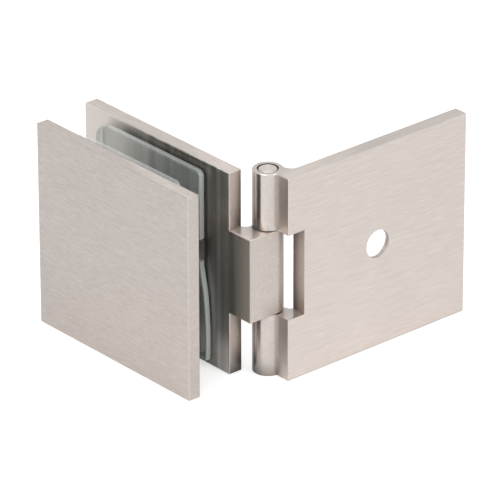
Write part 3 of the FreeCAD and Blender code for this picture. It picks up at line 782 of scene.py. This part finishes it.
def make_screw_head():
    """Head, cone and plain shank: one disc, drawn out face by face, then the socket cut in."""
    head = start_piece("clamp_screw_turned", bpy.ops.mesh.primitive_cylinder_add, vertices=HEAD_SIDES,
                       radius=HEAD_RADIUS, depth=HEAD_RIM, location=along_screw(HEAD_RIM / 2),
                       rotation=(math.pi / 2, 0, 0))
    bpy.ops.object.mode_set(mode="EDIT")
    cone = HEAD_RADIUS - SHANK_RADIUS
    for deep, share in ((cone, SHANK_RADIUS / HEAD_RADIUS), (THREAD_START - HEAD_RIM - cone, 1.0),
                        (THREAD_DEPTH, 1 - THREAD_DEPTH / SHANK_RADIUS)):
        choose("FACE", lambda face: face.normal.y < -0.999)
        bpy.ops.mesh.extrude_region_move(TRANSFORM_OT_translate={"value": (0, -deep, 0)})
        bpy.ops.transform.resize(value=(share, 1, share))
    bpy.ops.object.mode_set(mode="OBJECT")
    cut_away(head, start_piece("socket_cutter", bpy.ops.mesh.primitive_cylinder_add, vertices=6,
                               radius=SOCKET_CORNER, depth=2 * SOCKET_DEPTH, location=along_screw(0),
                               rotation=(math.pi / 2, 0, 0)))
    apply_modifier(head, "BEVEL", width=HEAD_BEVEL, segments=3, limit_method="ANGLE",
                   angle_limit=HEAD_BEVEL_ANGLE, use_clamp_overlap=True)
    return head


def make_thread():
    """One pitch of the thread's outline, drawn out point by point and wound along the screw.

    THREAD_OUTLINE's steps go out from the shank by a distance, and along it by a share of the
    pitch. The winding starts inside the shank and is cut off square at both ends."""
    thread = start_piece("screw_thread", bpy.ops.mesh.primitive_plane_add, size=0.001,
                         location=along_screw(THREAD_START - TURNS_BEFORE * PITCH))
    bpy.ops.object.mode_set(mode="EDIT")
    bpy.ops.mesh.select_mode(type="VERT")
    bpy.ops.mesh.select_all(action="SELECT")
    bpy.ops.mesh.merge(type="CENTER")
    bpy.ops.mesh.select_all(action="SELECT")
    bpy.ops.transform.translate(value=(SHANK_RADIUS - THREAD_DEPTH, 0, 0))
    for out, along in THREAD_OUTLINE:
        bpy.ops.mesh.extrude_vertices_move(TRANSFORM_OT_translate={"value": (out, -along * PITCH, 0)})
    edit_whole(thread)
    bpy.ops.transform.translate(value=-along_screw(0))
    bpy.ops.object.mode_set(mode="OBJECT")
    turns = round((SCREW_LENGTH - THREAD_START) / PITCH) + SPARE_TURNS
    apply_modifier(thread, "SCREW", axis="Y", angle=-2 * math.pi, screw_offset=-PITCH,
                   iterations=turns, steps=THREAD_STEPS, render_steps=THREAD_STEPS,
                   use_smooth_shade=False)
    edit_whole(thread)
    bpy.ops.transform.translate(value=along_screw(0))
    bpy.ops.mesh.remove_doubles(threshold=2 * SAME_PLACE)
    for distance, outer in ((THREAD_START, False), (SCREW_LENGTH, True)):
        bpy.ops.mesh.select_all(action="SELECT")
        bpy.ops.mesh.bisect(plane_co=along_screw(distance), plane_no=(0, -1, 0), use_fill=True,
                            clear_inner=not outer, clear_outer=outer, threshold=CUT_EXACTNESS)
    choose("VERT", lambda vertex: HEAD_Y - vertex.co.y > SCREW_LENGTH - TIP_TAPER)
    bpy.ops.transform.resize(value=(TIP_SHARE, 1, TIP_SHARE), center_override=along_screw(SCREW_LENGTH))
    bpy.ops.mesh.select_all(action="SELECT")
    bpy.ops.mesh.normals_make_consistent(inside=False)
    bpy.ops.object.mode_set(mode="OBJECT")
    return thread


screw_head = make_screw_head()
thread = make_thread()
pick(screw_head)
thread.select_set(True)
bpy.ops.object.join()
screw_nickel = brushed_nickel("screw_nickel", TURNED_SCRATCHES, gap_shade, tone=1.2, spread=0.15,
                              turned_about=(along_screw(0), (0, 1, 0)), flow_axis="Y")
screw_head.data.materials.append(screw_nickel)
bpy.ops.object.shade_smooth_by_angle(angle=SCREW_SMOOTH_ANGLE)
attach(screw_head, "screw")
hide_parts("clamp_screw")

# Floor, backdrop and lamps.
# A pale studio sweep. The floor carries a little of its own light for the camera and for
# reflections, so that it reads as white and still takes the clamp's shadow.
FLOOR_LEVEL = -0.0257
FLOOR_SIZE = 8
PAPER = (0.86, 0.86, 0.86, 1)
WHITE = (1, 1, 1, 1)
STUDIO_AIR = (0.97, 0.985, 1.0, 1)
SEEN_GLOW = 0.55
MIRRORED_GLOW = 0.1
AIR_STRENGTH = 0.4
MIRRORED_STRENGTH = 0.8
CLAMP_MIDDLE = (-0.02, -0.02, 0)


def mirrored_ray(tree, rays):
    """Whether a ray has come by way of metal or of something clear."""
    return calc(tree, "MAXIMUM", rays["Is Glossy Ray"], rays["Is Transmission Ray"])


def white_paper():
    """Matt paper that glows for the camera, and faintly for what is mirrored."""
    material = bpy.data.materials.new("white_paper")
    material.use_nodes = True
    tree = material.node_tree
    tree.nodes.clear()
    rays = add_node(tree, "LightPath").outputs
    faint = calc(tree, "MULTIPLY", mirrored_ray(tree, rays), MIRRORED_GLOW)
    glowing = calc(tree, "MULTIPLY_ADD", rays["Is Camera Ray"], SEEN_GLOW, faint)
    matt = add_node(tree, "BsdfDiffuse", {"Color": PAPER}).outputs[0]
    glow = add_node(tree, "Emission", {"Color": WHITE, "Strength": glowing}).outputs[0]
    both = add_node(tree, "AddShader", {0: matt, 1: glow}).outputs[0]
    add_node(tree, "OutputMaterial", {"Surface": both})
    return material


def studio_backdrop():
    """Light from all round: soft on surfaces, paler in mirrors and white for the camera."""
    world = bpy.data.worlds.new("studio")
    world.use_nodes = True
    tree = world.node_tree
    tree.nodes.clear()
    rays = add_node(tree, "LightPath").outputs
    air = add_node(tree, "Background", {"Color": STUDIO_AIR, "Strength": AIR_STRENGTH}).outputs[0]
    paler = add_node(tree, "Background", {"Color": WHITE, "Strength": MIRRORED_STRENGTH}).outputs[0]
    white = add_node(tree, "Background", {"Color": WHITE, "Strength": 1.0}).outputs[0]
    mixed = add_node(tree, "MixShader", {0: mirrored_ray(tree, rays), 1: air, 2: paler}).outputs[0]
    seen = add_node(tree, "MixShader", {0: rays["Is Camera Ray"], 1: mixed, 2: white}).outputs[0]
    add_node(tree, "OutputWorld", {"Surface": seen})
    return world


def add_lamp(name, place, width, height, radiance):
    """Soft rectangular lamp aimed at the clamp. A white surface has a radiance of 1."""
    bpy.ops.object.light_add(type="AREA", location=place)
    lamp = bpy.context.object
    lamp.name = name
    lamp.data.shape = "RECTANGLE"
    lamp.data.size = width
    lamp.data.size_y = height
    lamp.data.energy = radiance * math.pi * width * height
    lamp.rotation_euler = (Vector(CLAMP_MIDDLE) - Vector(place)).to_track_quat("-Z", "Y").to_euler()


floor = start_piece("floor", bpy.ops.mesh.primitive_plane_add, size=FLOOR_SIZE,
                    location=(0, 0, FLOOR_LEVEL))
floor.data.materials.append(white_paper())
bpy.context.scene.world = studio_backdrop()
add_lamp("softbox_front", place=(0.3, -1.5, 1.6), width=1.6, height=1.2, radiance=2.1)
add_lamp("softbox_right", place=(1.65, 0.35, 1.3), width=0.9, height=1.2, radiance=2.8)
add_lamp("softbox_top", place=(-0.1, 0.1, 2.0), width=1.4, height=1.4, radiance=1.3)

bpy.context.scene.view_settings.view_transform = "Standard"
